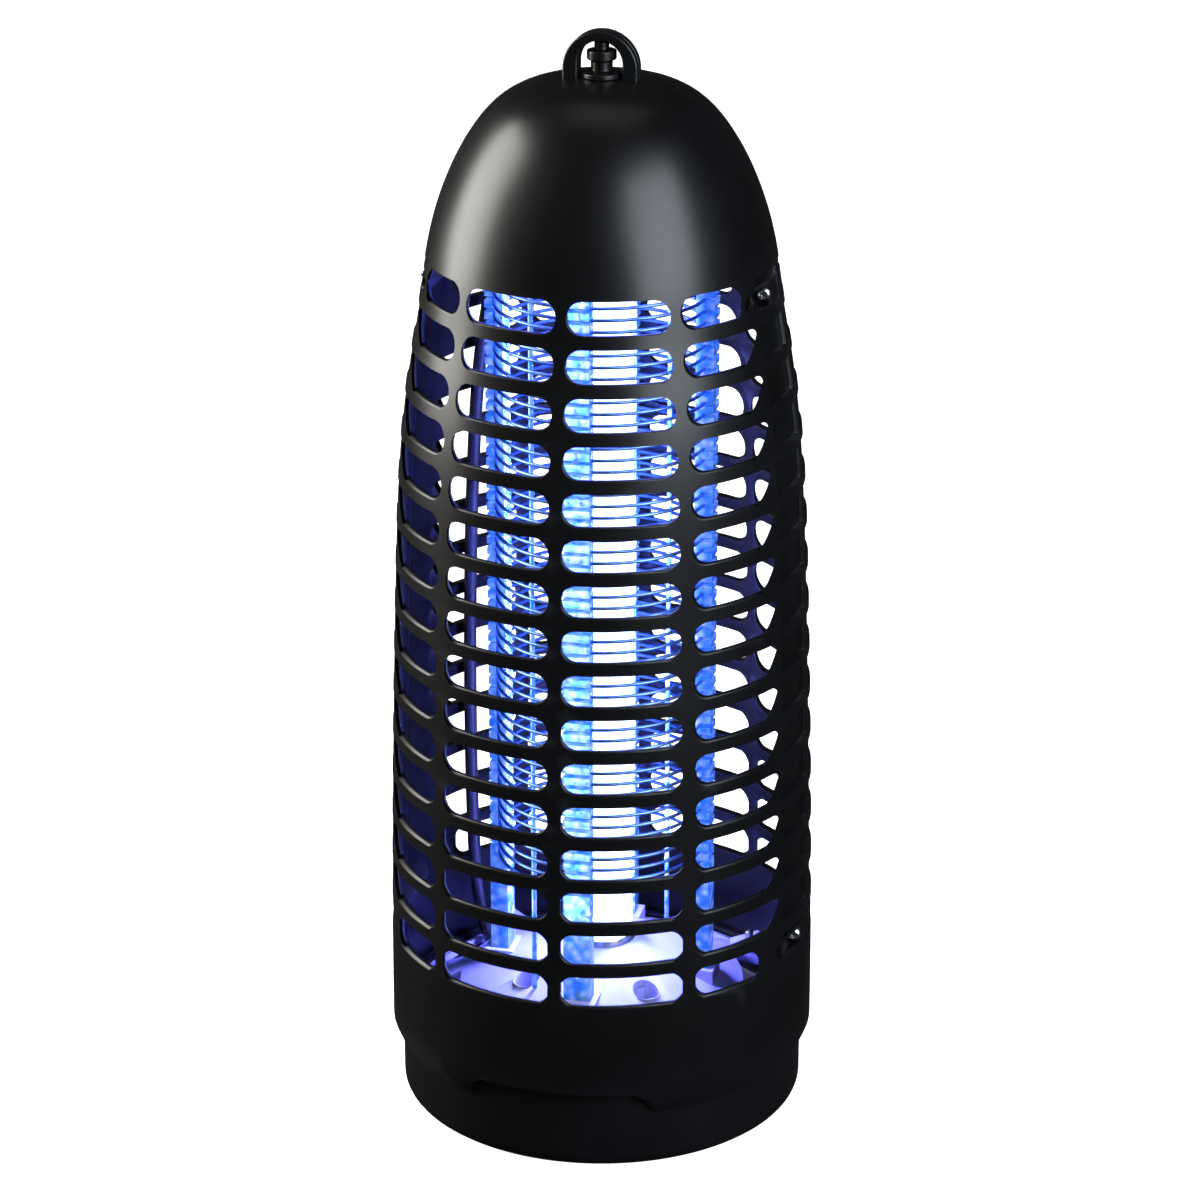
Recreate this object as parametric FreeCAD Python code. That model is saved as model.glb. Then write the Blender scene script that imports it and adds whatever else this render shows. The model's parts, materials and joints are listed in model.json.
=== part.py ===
import FreeCAD, Part
import math
import os

# Electric insect killer of the hanging lantern kind: two moulded half shells round a
# mains UV tube, a ring-wire high-voltage grid held by four clear combs, a white cone
# deck below, a driver board in the dome and a catch tray that pulls off downwards.
# Frame: millimetres, +Z up, origin at the centre of the tray's underside,
# the front half shell faces -Y and the two shells meet on the plane y = 0.
# Angles round the axis start at the front (-Y) and grow towards +X.

Vec = FreeCAD.Vector
UP = Vec(0, 0, 1)
ORIGIN = Vec(0, 0, 0)
os.makedirs("parts", exist_ok=True)

# ---------------------------------------------------------------- driving dimensions
WALL = 2.2
RIM_Z = 16.0
RIM_CHAMFER_TOP = 20.0
RIM_R = 52.9
BORE_R = 52.4
APEX_Z = 268.0
OUTLINE = [
    (54.6, 20.0), (54.4, 51.0), (53.5, 96.0), (51.9, 145.0), (50.1, 177.0), (47.5, 198.0),
    (44.9, 213.0), (42.4, 228.4), (37.8, 243.4), (32.0, 254.5), (24.4, 263.0),
    (15.7, 267.0), (0.0, APEX_Z),
]

ROWS = 16
TOP_ROW_Z = 220.2
ROW_PITCH = 11.33
WINDOW_H = 8.4
INNER_COLUMN = (1.6, 34.4)
OUTER_COLUMN = (37.6, 67.7)
OUTER_END_FIRST_ROW = 62.0
OUTER_END_LAST_ROW = 59.0
CORNER = 2.2
DIAGONAL = (5.6, 6.6)
STRIP = (70.0, 88.6)
POCKET_DEPTH = 1.2

NOTCH_HALF = 22.5
NOTCH_SLOPE = 3.5
NOTCH_TOP = 21.6

SCREW_ROWS_Z = (TOP_ROW_Z - 1.2, 50.0)
SCREW_INSET = 2.2
SEAT_Y = 8.0
RECESS_R = 2.4
SCREW_R = 1.1
CLEAR_R = SCREW_R + 0.1
HEAD_R = 2.2
HEAD_H = 1.4
SHELL_HEAD_R = 1.7
SHELL_HEAD_H = 1.3
SHELL_BOSS_R = 3.4
PILOT_DEPTH = 6.0
LEDGE_R = 41.2
LEDGE_BORE_R = 37.4
LEDGE_THICK = 2.2
PAD_R = 43.6
PAD_THICK = 4.2

LOOP_R = 9.25
LOOP_TOP = 279.5
LOOP_BAND = 3.7
LOOP_CROWN = 2.3
LOOP_HALF_DEPTH = 2.5
STUD_HOLE_R = 1.9
SEAT_GAP = 0.05
STUD_SHANK_R = 1.8
STUD_COLLAR_R = 3.6
STUD_NECK_R = 2.65
STUD_FOOT_R = 4.8

TRAY_R = 52.0
TRAY_TOP = 23.4
TRAY_WALL = 1.7
TRAY_FLOOR = 2.0
TRAY_EDGE = 3.5
RIB_PROUD = 0.22
RIB_WIDTH = 1.4
TRAY_UNDERCUT = 0.8
LINER_TOP = 15.0
LINER_WALL = 1.2

DECK_THICK = 2.0
DECK_RIM_R = 49.9
DECK_RIM_Z = 22.3
DECK_COLLAR_R = 11.0
DECK_COLLAR_Z = 40.6

DECK_SCREW_ANGLES = (-41, 41, 139, -139)
DECK_SCREW_R = 24.0
DECK_SEAT_Z = 30.0
FLANGE_Z = 26.4
LUG_ANGLES = (45, 135, 225, 315)
LUG_SCREW_R = 46.8
LUG_LOW = TRAY_TOP + 0.6
LUG_HIGH = LUG_LOW + 2.8
LUG_WIDTH = 7.0
SLOT_R = (37.0, 46.0)
SLOT_HALF_ANGLE = 14.5
FOOT_LOW = 29.4
FOOT_HIGH = 35.2
POST_LOW = 32.0
BARREL_LOW = 22.4
FLANGE_THICK = 2.6

LAMP_R = 8.0
LAMP_FACE_LOW = 34.2
LAMP_LENGTH = 212.0
LAMP_CAP = 7.8
PIN_R = 1.15
PIN_LENGTH = 7.1
PIN_SPACING = 4.75

POST_ANGLES = {"front": 0, "right": 90, "rear": 180, "left": -90}
GRID_R = 26.4
WIRE_R = 0.45
WIRE_SIDES = 12
RING_GAP = 2.6
WIRE_PITCH = 2.94
GRID_LOW_Z = 65.0
GRID_RINGS = 54
POST_WIDTH = 7.0
POST_IN = 24.3
POST_OUT = 28.9
BUS_R = 0.8

UPPER_DECK_Z = 227.6
UPPER_DECK_THICK = 2.4
UPPER_DECK_R = 39.3
HOLDER_SCREW_R = 14.6
HOLDER_CAP_R = 10.6
HOLDER_LEG_WIDTH = 7.0
SPACER_ROD_R = 0.6
SPACER_ANGLES = (-30, 150)

BOARD_Z = 236.0
BOARD_THICK = 1.6
BOARD_R = 33.0
BOARD_HOLE_R = 18.0
BOARD_POST_ANGLES = (45, 135, 225, 315)
BOARD_POST_R = 28.5

LEAD_R = 1.7
LEAD_ANGLE = -121.0
INLET_Z = 238.0
INLET_R = 3.0
GROMMET_WALL = 1.4
GROMMET_LIP = 3.2

PARTS_RING_R = 24.0
CAPACITOR_ANGLES = (-22, 22, 66)
CHOKE_ANGLE = 110
CAN_ANGLE = 160
FUSE_ANGLE = 181
TERMINAL_ANGLE = -152


# ------------------------------------------------------------------------- helpers
def out(shape, name):
    """Write one sub-part."""
    shape.exportStep("parts/" + name + ".step")


def polar(radius, angle, z=0.0):
    """Point at an angle from the front, growing towards +X."""
    a = math.radians(angle)
    return Vec(radius * math.sin(a), -radius * math.cos(a), z)


def tube(radius, z_low, z_high, inner=0.0):
    body = Part.makeCylinder(radius, z_high - z_low, Vec(0, 0, z_low))
    if inner:
        body = body.cut(Part.makeCylinder(inner, z_high - z_low, Vec(0, 0, z_low)))
    return body


def turned(points):
    """Solid turned about Z from a closed (radius, z) outline."""
    wire = Part.makePolygon([Vec(r, 0, z) for r, z in points + points[:1]])
    return Part.Face(wire).revolve(ORIGIN, UP, 360)


def block(angle, r_low, r_high, width, z_low, z_high):
    """Box whose length lies along a radius."""
    box = Part.makeBox(width, r_high - r_low, z_high - z_low, Vec(-width / 2, -r_high, z_low))
    box.rotate(ORIGIN, UP, angle)
    return box


def peg(angle, at_radius, radius, z_low, z_high):
    return Part.makeCylinder(radius, z_high - z_low, polar(at_radius, angle, z_low))


def sector(angle, half_width, r_low, r_high, z_low, z_high):
    """Ring segment centred on an angle."""
    ring = Part.makeCylinder(r_high, z_high - z_low, Vec(0, 0, z_low), UP, 2 * half_width)
    if r_low:
        ring = ring.cut(Part.makeCylinder(r_low, z_high - z_low, Vec(0, 0, z_low)))
    ring.rotate(ORIGIN, UP, angle - half_width - 90)
    return ring


def joined(shapes):
    """One solid from pieces that overlap."""
    return shapes[0].multiFuse(shapes[1:]).removeSplitter() if len(shapes) > 1 else shapes[0]


def screw(head_r, head_h, shank_r, length):
    """Pan-head screw with its head on z = 0 above and its shank down to -length."""
    body = turned([(0, -length), (shank_r, -length + shank_r), (shank_r, 0), (head_r, 0),
                   (head_r, head_h * 0.6), (head_r * 0.7, head_h), (0, head_h)])
    slot = 0.35
    for angle in (0, 90):
        arm = Part.makeBox(2 * head_r * 0.6, 2 * slot, head_h, Vec(-head_r * 0.6, -slot, head_h * 0.45))
        arm.rotate(ORIGIN, UP, angle)
        body = body.cut(arm)
    return body


def rounded_path(points):
    """Straight runs joined by the largest tangent arcs that 0.45 of the shorter run allows."""
    edges = []
    start = points[0]
    for before, corner, after in zip(points, points[1:], points[2:]):
        back = before - corner
        ahead = after - corner
        reach = 0.45 * min(back.Length, ahead.Length)
        a = corner + back.normalize() * reach
        b = corner + ahead.normalize() * reach
        half_turn = (math.pi - back.getAngle(ahead)) / 2
        radius = reach / math.tan(half_turn)
        to_centre = (back + ahead).normalize()
        middle = corner + to_centre * (radius / math.cos(half_turn) - radius)
        edges.append(Part.LineSegment(start, a).toShape())
        edges.append(Part.Arc(a, middle, b).toShape())
        start = b
    edges.append(Part.LineSegment(start, points[-1]).toShape())
    return Part.Wire(edges)


def lead(points, radius):
    """Round lead along a rounded path."""
    path = rounded_path(points)
    ring = Part.Wire(Part.Circle(points[0], points[1] - points[0], radius).toShape())
    return path.makePipeShell([ring], True, False)


# ------------------------------------------------------------------ housing outline
def outline_curve():
    curve = Part.BSplineCurve()
    points = [Vec(r, 0, z) for r, z in OUTLINE]
    curve.interpolate(Points=points, InitialTangent=Vec(0, 0, 1), FinalTangent=Vec(-1, 0, 0))
    return curve


OUTER = outline_curve()


def inset_points(depth, count=36):
    """Points at a depth under the outer face, from the rim to the crown."""
    points = []
    first = OUTER.FirstParameter
    span = OUTER.LastParameter - first
    for i in range(count + 1):
        t = first + span * i / count
        along = OUTER.tangent(t)[0]
        inward = Vec(-along.z, 0, along.x)
        points.append(OUTER.value(t) + inward * depth)
    points[-1].x = 0.0
    return points


TRACE = inset_points(0.0, 400)


def radius_at(z):
    """Outer radius of the housing at a height."""
    for a, b in zip(TRACE, TRACE[1:]):
        if a.z <= z <= b.z:
            return a.x + (b.x - a.x) * (z - a.z) / (b.z - a.z)
    return OUTLINE[0][0]


def envelope():
    """Solid inside the housing's outer face."""
    top = Vec(0, 0, APEX_Z)
    edges = [OUTER.toShape(), Part.makeLine(top, Vec(0, 0, RIM_CHAMFER_TOP)),
             Part.makeLine(Vec(0, 0, RIM_CHAMFER_TOP), OUTER.value(OUTER.FirstParameter))]
    return Part.Face(Part.Wire(edges)).revolve(ORIGIN, UP, 360)


def half_wall():
    """Plain front half of the housing: a wall turned through half a turn."""
    inner = Part.BSplineCurve()
    points = inset_points(WALL)
    inner.interpolate(Points=points, InitialTangent=Vec(0, 0, 1), FinalTangent=Vec(-1, 0, 0))
    outer_start = OUTER.value(OUTER.FirstParameter)
    rim_out = Vec(RIM_R, 0, RIM_Z)
    rim_in = Vec(BORE_R, 0, RIM_Z)
    edges = [
        Part.makeLine(rim_in, rim_out),
        Part.makeLine(rim_out, outer_start),
        OUTER.toShape(),
        Part.makeLine(Vec(0, 0, APEX_Z), points[-1]),
        inner.toShape(),
        Part.makeLine(points[0], rim_in),
    ]
    face = Part.Face(Part.Wire(Part.__sortEdges__(edges)))
    return face.revolve(ORIGIN, UP, -180)


# ------------------------------------------------------------------ housing details
def window(column, z, side, diagonal):
    """Prism that opens one window, drawn from the mould: its sides run along Y."""
    low = z - WINDOW_H / 2
    high = z + WINDOW_H / 2
    a_low, a_high = (radius_at(h) * math.sin(math.radians(column[0])) for h in (low, high))
    b_low, b_high = (radius_at(h) * math.sin(math.radians(column[1])) for h in (low, high))
    squash = math.cos(math.radians(column[1]))
    end = CORNER * max(squash, 0.55)
    cut_x, cut_z = (DIAGONAL[0] * squash, DIAGONAL[1]) if diagonal else (end, CORNER)
    outline = [
        (a_low, low + CORNER), (a_low + CORNER, low), (b_low - cut_x, low), (b_low, low + cut_z),
        (b_high, high - min(CORNER, WINDOW_H - cut_z - 0.4)), (b_high - end, high),
        (a_high + CORNER, high), (a_high, high - CORNER),
    ]
    wire = Part.makePolygon([Vec(side * x, -70, h) for x, h in outline + outline[:1]])
    return Part.Face(wire).extrude(Vec(0, 65, 0))


def windows():
    cutters = []
    ends = {0: OUTER_END_FIRST_ROW, ROWS - 1: OUTER_END_LAST_ROW}
    for row in range(ROWS):
        z = TOP_ROW_Z - row * ROW_PITCH
        outer = (OUTER_COLUMN[0], ends.get(row, OUTER_COLUMN[1]))
        for side in (-1, 1):
            cutters.append(window(INNER_COLUMN, z, side, False))
            cutters.append(window(outer, z, side, row not in ends))
    return cutters


def strip_pockets():
    """Shallow pockets between the ribs of the side strips."""
    cutters = []
    far = 70.0
    turn = STRIP[1] - STRIP[0]
    for row in range(ROWS):
        z = TOP_ROW_Z - row * ROW_PITCH
        low = z - WINDOW_H / 2
        high = z + WINDOW_H / 2
        outline = [Vec(radius_at(low) - POCKET_DEPTH, 0, low), Vec(far, 0, low),
                   Vec(far, 0, high), Vec(radius_at(high) - POCKET_DEPTH, 0, high)]
        face = Part.Face(Part.makePolygon(outline + outline[:1]))
        for start in (STRIP[0] - 90, -STRIP[1] - 90):
            pocket = face.revolve(ORIGIN, UP, turn)
            pocket.rotate(ORIGIN, UP, start)
            cutters.append(pocket)
    return cutters


def rim_notch():
    """Finger notch in the rim, at the middle of the half."""
    half = NOTCH_HALF
    low = RIM_Z - 1
    outline = [(-half, low), (-half + NOTCH_SLOPE, NOTCH_TOP), (half - NOTCH_SLOPE, NOTCH_TOP),
               (half, low)]
    wire = Part.makePolygon([Vec(x, -60, z) for x, z in outline + outline[:1]])
    return Part.Face(wire).extrude(Vec(0, 25, 0))


def screw_places():
    """(x, z) of the four housing screws, whose axes run along Y."""
    return [(side * (radius_at(z) - SCREW_INSET), z) for z in SCREW_ROWS_Z for side in (-1, 1)]


def along_y(radius, x, z, y_low, y_high):
    return Part.makeCylinder(radius, y_high - y_low, Vec(x, y_low, z), Vec(0, 1, 0))


def loop_half():
    """Half of the hanging loop, which stands on the crown in the seam plane."""
    foot = APEX_Z - 6.0
    spring = LOOP_TOP - LOOP_R
    inner_r = LOOP_R - LOOP_BAND
    inner_spring = LOOP_TOP - LOOP_CROWN - inner_r

    def arch(radius, spring_z):
        edges = [
            Part.makeLine(Vec(-radius, 0, foot), Vec(-radius, 0, spring_z)),
            Part.Arc(Vec(-radius, 0, spring_z), Vec(0, 0, spring_z + radius),
                     Vec(radius, 0, spring_z)).toShape(),
            Part.makeLine(Vec(radius, 0, spring_z), Vec(radius, 0, foot)),
            Part.makeLine(Vec(radius, 0, foot), Vec(-radius, 0, foot)),
        ]
        return Part.Face(Part.Wire(edges)).extrude(Vec(0, -LOOP_HALF_DEPTH, 0))

    band = arch(LOOP_R, spring).cut(arch(inner_r, inner_spring))
    crown_inside = envelope_inside()
    return band.cut(crown_inside)


def envelope_inside():
    """Space inside the wall, near the crown."""
    points = inset_points(WALL / 2)
    inner = Part.BSplineCurve()
    inner.interpolate(Points=points, InitialTangent=Vec(0, 0, 1), FinalTangent=Vec(-1, 0, 0))
    foot = Vec(0, 0, points[0].z)
    edges = [inner.toShape(), Part.makeLine(points[-1], foot), Part.makeLine(foot, points[0])]
    return Part.Face(Part.Wire(edges)).revolve(ORIGIN, UP, 360)


def half_shell():
    """Front half with windows, strips, notch, bosses and its half of the loop, undrilled."""
    wall = half_wall().cut(windows() + strip_pockets() + [rim_notch()])
    skin = envelope()
    bosses = []
    for x, z in screw_places():
        bosses.append(along_y(SHELL_BOSS_R, x, z, -SEAT_Y - 2.5, 0).common(skin))
    ledge = Part.makeCylinder(LEDGE_R, LEDGE_THICK, Vec(0, 0, UPPER_DECK_Z - LEDGE_THICK), UP, 180)
    ledge = ledge.cut(tube(LEDGE_BORE_R, UPPER_DECK_Z - 4, UPPER_DECK_Z + 1))
    ledge.rotate(ORIGIN, UP, 180)
    pads = [block(a, PAD_R, BORE_R + 0.8, LUG_WIDTH, LUG_HIGH, LUG_HIGH + PAD_THICK)
            for a in (-45, 45)]
    body = joined([wall, ledge] + bosses + pads + [loop_half()])
    holes = [peg(a, LUG_SCREW_R, SCREW_R, LUG_HIGH - 1, LUG_HIGH + 3.8) for a in (-45, 45)]
    holes.append(Part.makeCylinder(STUD_HOLE_R, 12, Vec(0, 0, APEX_Z - 10)))
    return body.cut(holes)


def stud():
    """Turned hanging stud, trapped in the crown between the two halves."""
    crown = APEX_Z
    return turned([
        (0, crown - 4.9), (STUD_COLLAR_R, crown - 4.9),
        (STUD_COLLAR_R, crown - 2.7), (STUD_SHANK_R, crown - 2.7),
        (STUD_SHANK_R, crown + SEAT_GAP), (STUD_FOOT_R, crown + SEAT_GAP),
        (STUD_FOOT_R, crown + 1.3), (STUD_NECK_R, crown + 1.9),
        (STUD_NECK_R, crown + 4.2), (STUD_COLLAR_R, crown + 4.5),
        (STUD_COLLAR_R, crown + 6.7), (STUD_SHANK_R, crown + 7.0),
        (STUD_SHANK_R, LOOP_TOP - LOOP_CROWN - 0.4), (0, LOOP_TOP - LOOP_CROWN - 0.4),
    ])


def housing():
    plain = half_shell()
    front = plain
    rear = plain.mirror(ORIGIN, Vec(0, 1, 0))
    screws = []
    for x, z in screw_places():
        front = front.cut(along_y(RECESS_R, x, z, -70, -SEAT_Y))
        front = front.cut(along_y(CLEAR_R, x, z, -SEAT_Y - 1, 1))
        rear = rear.cut(along_y(SCREW_R, x, z, -1, PILOT_DEPTH))
        piece = screw(SHELL_HEAD_R, SHELL_HEAD_H, SCREW_R, SEAT_Y + PILOT_DEPTH - 0.4)
        piece.rotate(ORIGIN, Vec(1, 0, 0), 90)
        piece.translate(Vec(x, -SEAT_Y, z))
        screws.append(piece)
    rear = rear.cut(along_y(INLET_R + GROMMET_WALL, 0, INLET_Z, 20, 60))
    rear = rear.cut(along_y(INLET_R + 3.4, 0, INLET_Z, radius_at(INLET_Z) + 1.2, 60))
    out(front, "front_shell")
    out(rear, "rear_shell")
    out(Part.makeCompound(screws), "shell_screws")
    out(stud(), "hanging_stud")


def inlet():
    """Rubber grommet of the cord inlet, at the back of the dome."""
    wall_y = radius_at(INLET_Z)
    sleeve = along_y(INLET_R + GROMMET_WALL, 0, INLET_Z, wall_y - 5.2, wall_y + 1.2)
    flange_out = along_y(INLET_R + GROMMET_LIP, 0, INLET_Z, wall_y + 1.2, wall_y + 2.8)
    flange_in = along_y(INLET_R + 2.8, 0, INLET_Z, wall_y - 6.6, wall_y - 5.2)
    body = joined([sleeve, flange_out, flange_in])
    out(body.cut(along_y(INLET_R, 0, INLET_Z, 10, 70)), "cord_inlet_grommet")


# --------------------------------------------------------------------------- tray
def tray():
    cup = turned([
        (0, TRAY_UNDERCUT), (TRAY_R - 12, TRAY_UNDERCUT), (TRAY_R - 11, 0), (TRAY_R - TRAY_EDGE, 0),
        (TRAY_R - TRAY_EDGE * 0.3, TRAY_EDGE * 0.3), (TRAY_R, TRAY_EDGE), (TRAY_R, TRAY_TOP),
        (TRAY_R - TRAY_WALL, TRAY_TOP), (TRAY_R - TRAY_WALL, TRAY_FLOOR + TRAY_UNDERCUT),
        (0, TRAY_FLOOR + TRAY_UNDERCUT),
    ])
    ribs = [block(a, TRAY_R - 0.5, TRAY_R + RIB_PROUD, RIB_WIDTH, RIM_Z + 1.5, TRAY_TOP - 0.8)
            for a in range(40, 360, 40)]
    out(joined([cup] + ribs), "collection_tray")
    floor = TRAY_FLOOR + TRAY_UNDERCUT
    radius = TRAY_R - TRAY_WALL
    out(turned([(0, floor), (radius, floor), (radius, LINER_TOP), (radius - LINER_WALL, LINER_TOP),
                (radius - LINER_WALL, floor + 2 * LINER_WALL),
                (radius - 2 * LINER_WALL, floor + LINER_WALL), (0, floor + LINER_WALL)]),
        "tray_liner")


# ------------------------------------------------------------------ lower deck, lamp
def cone_z(radius):
    """Height of the deck's upper face at a radius."""
    slope = (DECK_COLLAR_Z - DECK_RIM_Z) / (DECK_RIM_R - DECK_COLLAR_R)
    return DECK_RIM_Z + (DECK_RIM_R - radius) * slope




def lower_deck():
    """White cone with drop slots, which carries the comb posts and the lower lampholder."""
    cone = turned([
        (LAMP_R + 0.8, 34.0), (LAMP_R + 0.8, DECK_COLLAR_Z), (DECK_COLLAR_R, DECK_COLLAR_Z),
        (DECK_RIM_R, DECK_RIM_Z), (DECK_RIM_R, DECK_RIM_Z - DECK_THICK),
        (DECK_COLLAR_R, DECK_COLLAR_Z - DECK_THICK), (DECK_COLLAR_R, 34.0),
    ])
    lugs = [block(a, 43.0, BORE_R - 0.5, LUG_WIDTH, LUG_LOW, LUG_HIGH) for a in LUG_ANGLES]
    bosses = [peg(a, DECK_SCREW_R, 3.6, FLANGE_Z, cone_z(DECK_SCREW_R) - 0.6)
              for a in DECK_SCREW_ANGLES]
    feet = [block(a, POST_IN - 1.6, POST_OUT + 1.6, POST_WIDTH + 3, FOOT_LOW, FOOT_HIGH)
            for a in POST_ANGLES.values()]
    body = joined([cone] + lugs + bosses + feet)
    slots = [sector(22.5 + 45 * i, SLOT_HALF_ANGLE, *SLOT_R, 10, 50) for i in range(8)]
    sockets = [block(a, POST_IN, POST_OUT, POST_WIDTH, POST_LOW, 50) for a in POST_ANGLES.values()]
    holes = [peg(a, GRID_R, CLEAR_R, 20, 40) for a in POST_ANGLES.values()]
    for a in DECK_SCREW_ANGLES:
        holes.append(peg(a, DECK_SCREW_R, 3.4, DECK_SEAT_Z, 50))
        holes.append(peg(a, DECK_SCREW_R, CLEAR_R, 20, 40))
    for a in LUG_ANGLES:
        holes.append(peg(a, LUG_SCREW_R, 2.6, 10, LUG_LOW))
        holes.append(peg(a, LUG_SCREW_R, CLEAR_R, 10, 40))
    out(body.cut(slots + sockets + holes), "lower_deck")
    screws = []
    for a in LUG_ANGLES:
        piece = screw(HEAD_R, HEAD_H, SCREW_R, 6.2)
        piece.rotate(ORIGIN, Vec(1, 0, 0), 180)
        piece.translate(polar(LUG_SCREW_R, a, LUG_LOW))
        screws.append(piece)
    out(Part.makeCompound(screws), "deck_screws")


def lower_lampholder():
    barrel = tube(LAMP_R + 0.6, BARREL_LOW, LAMP_FACE_LOW)
    flange = tube(DECK_SCREW_R + 4.2, FLANGE_Z - FLANGE_THICK, FLANGE_Z)
    port = block(LEAD_ANGLE, 5.0, 13.0, 7.0, FLANGE_Z - 6.4, FLANGE_Z - FLANGE_THICK)
    body = joined([barrel, flange, port])
    holes = [peg(a, PIN_SPACING / 2, PIN_R + 0.02, 20, 40) for a in (-90, 90)]
    holes += [peg(a, DECK_SCREW_R, SCREW_R, 20, 30) for a in DECK_SCREW_ANGLES]
    out(body.cut(holes), "lower_lampholder")
    screws = []
    for a in DECK_SCREW_ANGLES:
        piece = screw(HEAD_R, HEAD_H, SCREW_R, 6.0)
        piece.translate(polar(DECK_SCREW_R, a, DECK_SEAT_Z))
        screws.append(piece)
    out(Part.makeCompound(screws), "lampholder_screws")


def lamp():
    low = LAMP_FACE_LOW
    high = low + LAMP_LENGTH
    out(tube(LAMP_R - 0.1, low + LAMP_CAP, high - LAMP_CAP), "lamp_tube")
    out(turned([(0, low), (LAMP_R - 0.8, low), (LAMP_R, low + 0.8), (LAMP_R, low + LAMP_CAP),
                (0, low + LAMP_CAP)]), "lamp_cap_lower")
    out(turned([(0, high - LAMP_CAP), (LAMP_R, high - LAMP_CAP), (LAMP_R, high - 0.8),
                (LAMP_R - 0.8, high), (0, high)]), "lamp_cap_upper")
    pins = []
    for a in (-90, 90):
        pins.append(peg(a, PIN_SPACING / 2, PIN_R, low - PIN_LENGTH, low))
        pins.append(peg(a, PIN_SPACING / 2, PIN_R, high, high + PIN_LENGTH))
    out(Part.makeCompound(pins), "lamp_pins")


def upper_lampholder():
    """White cap over the tube's upper end, on two legs that stand on the upper deck."""
    face = LAMP_FACE_LOW + LAMP_LENGTH
    deck_top = UPPER_DECK_Z + UPPER_DECK_THICK
    cap = turned([(0, face), (LAMP_R + 0.3, face), (LAMP_R + 0.3, face - 5), (HOLDER_CAP_R, face - 5),
                  (HOLDER_CAP_R, face + 6), (HOLDER_CAP_R - 2, face + 9.4), (0, face + 9.4)])
    pieces = [cap]
    for a in (0, 180):
        pieces.append(block(a, 9.4, 12.2, HOLDER_LEG_WIDTH, deck_top, face + 2))
        pieces.append(block(a, 9.4, 17.0, HOLDER_LEG_WIDTH, deck_top, deck_top + 2.2))
    body = joined(pieces).cut([peg(a, HOLDER_SCREW_R, CLEAR_R, 228, 240) for a in (0, 180)])
    screws = []
    for a in (0, 180):
        piece = screw(2.0, 1.3, SCREW_R, 4.2)
        piece.translate(polar(HOLDER_SCREW_R, a, deck_top + 2.2))
        screws.append(piece)
    out(Part.makeCompound(screws), "upper_holder_screws")
    pin_holes = [peg(a, PIN_SPACING / 2, PIN_R + 0.02, face - 1, face + PIN_LENGTH + 0.6)
                 for a in (-90, 90)]
    out(body.cut(pin_holes), "upper_lampholder")


# --------------------------------------------------------------------------- grid
def ring_heights(first):
    return [GRID_LOW_Z + WIRE_PITCH * i for i in range(first, GRID_RINGS, 2)]


def comb_post(angle, bored):
    """Clear comb: a tall post with one notch for each grid wire."""
    gap = WIRE_R + 0.08
    low = POST_LOW
    high = UPPER_DECK_Z
    outline = [Vec(0, -POST_IN, low), Vec(0, -POST_OUT, low)]
    for i in range(GRID_RINGS):
        z = GRID_LOW_Z + WIRE_PITCH * i
        outline += [Vec(0, -POST_OUT, z - gap), Vec(0, -GRID_R + WIRE_R + 0.35, z - gap),
                    Vec(0, -GRID_R + WIRE_R + 0.35, z + gap), Vec(0, -POST_OUT, z + gap)]
    outline += [Vec(0, -POST_OUT, high), Vec(0, -POST_IN, high)]
    face = Part.Face(Part.makePolygon(outline + outline[:1]))
    body = face.extrude(Vec(POST_WIDTH, 0, 0))
    body.translate(Vec(-POST_WIDTH / 2, 0, 0))
    body.rotate(ORIGIN, UP, angle)
    drills = [peg(angle, GRID_R, SCREW_R, low - 1, low + 9)]
    if bored:
        drills.append(peg(angle, GRID_R, BUS_R + 0.1, GRID_LOW_Z - 4, high + 1))
    else:
        drills.append(peg(angle, GRID_R, SCREW_R, high - 8, high + 1))
    return body.cut(drills)


def grid_set(first, bus_angle):
    """Every second ring, welded to its own bus rod and open where the other rod passes."""
    gap = math.degrees(RING_GAP / GRID_R)
    start = bus_angle + 180 + gap
    corners = []
    for k in range(WIRE_SIDES + 1):
        turn = 2 * math.pi * (k + 0.5) / WIRE_SIDES
        corners.append(polar(GRID_R + WIRE_R * math.cos(turn), start, WIRE_R * math.sin(turn)))
    section = Part.Face(Part.makePolygon(corners))
    ring = section.revolve(ORIGIN, UP, 360 - 2 * gap)
    parts = []
    for z in ring_heights(first):
        parts.append(ring.translated(Vec(0, 0, z)))
    rod = peg(bus_angle, GRID_R, BUS_R, GRID_LOW_Z - 2, BOARD_Z + BOARD_THICK + 0.8)
    return joined([rod] + parts)


def grid():
    for place, angle in POST_ANGLES.items():
        out(comb_post(angle, place in ("left", "right")), "grid_post_" + place)
    out(grid_set(0, 90), "grid_rings_live")
    out(grid_set(1, -90), "grid_rings_neutral")
    spacer_r = GRID_R - WIRE_R - SPACER_ROD_R
    rods = [peg(a, spacer_r, SPACER_ROD_R, cone_z(spacer_r - SPACER_ROD_R), UPPER_DECK_Z)
            for a in SPACER_ANGLES]
    out(Part.makeCompound(rods), "grid_spacer_rods")
    screws = []
    for place, angle in POST_ANGLES.items():
        piece = screw(HEAD_R, HEAD_H, SCREW_R, 9.0)
        piece.rotate(ORIGIN, Vec(1, 0, 0), 180)
        piece.translate(polar(GRID_R, angle, FOOT_LOW))
        screws.append(piece)
        if place in ("front", "rear"):
            piece = screw(HEAD_R, HEAD_H, SCREW_R, 8.6)
            piece.translate(polar(GRID_R, angle, UPPER_DECK_Z + UPPER_DECK_THICK))
            screws.append(piece)
    out(Part.makeCompound(screws), "post_screws")


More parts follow.
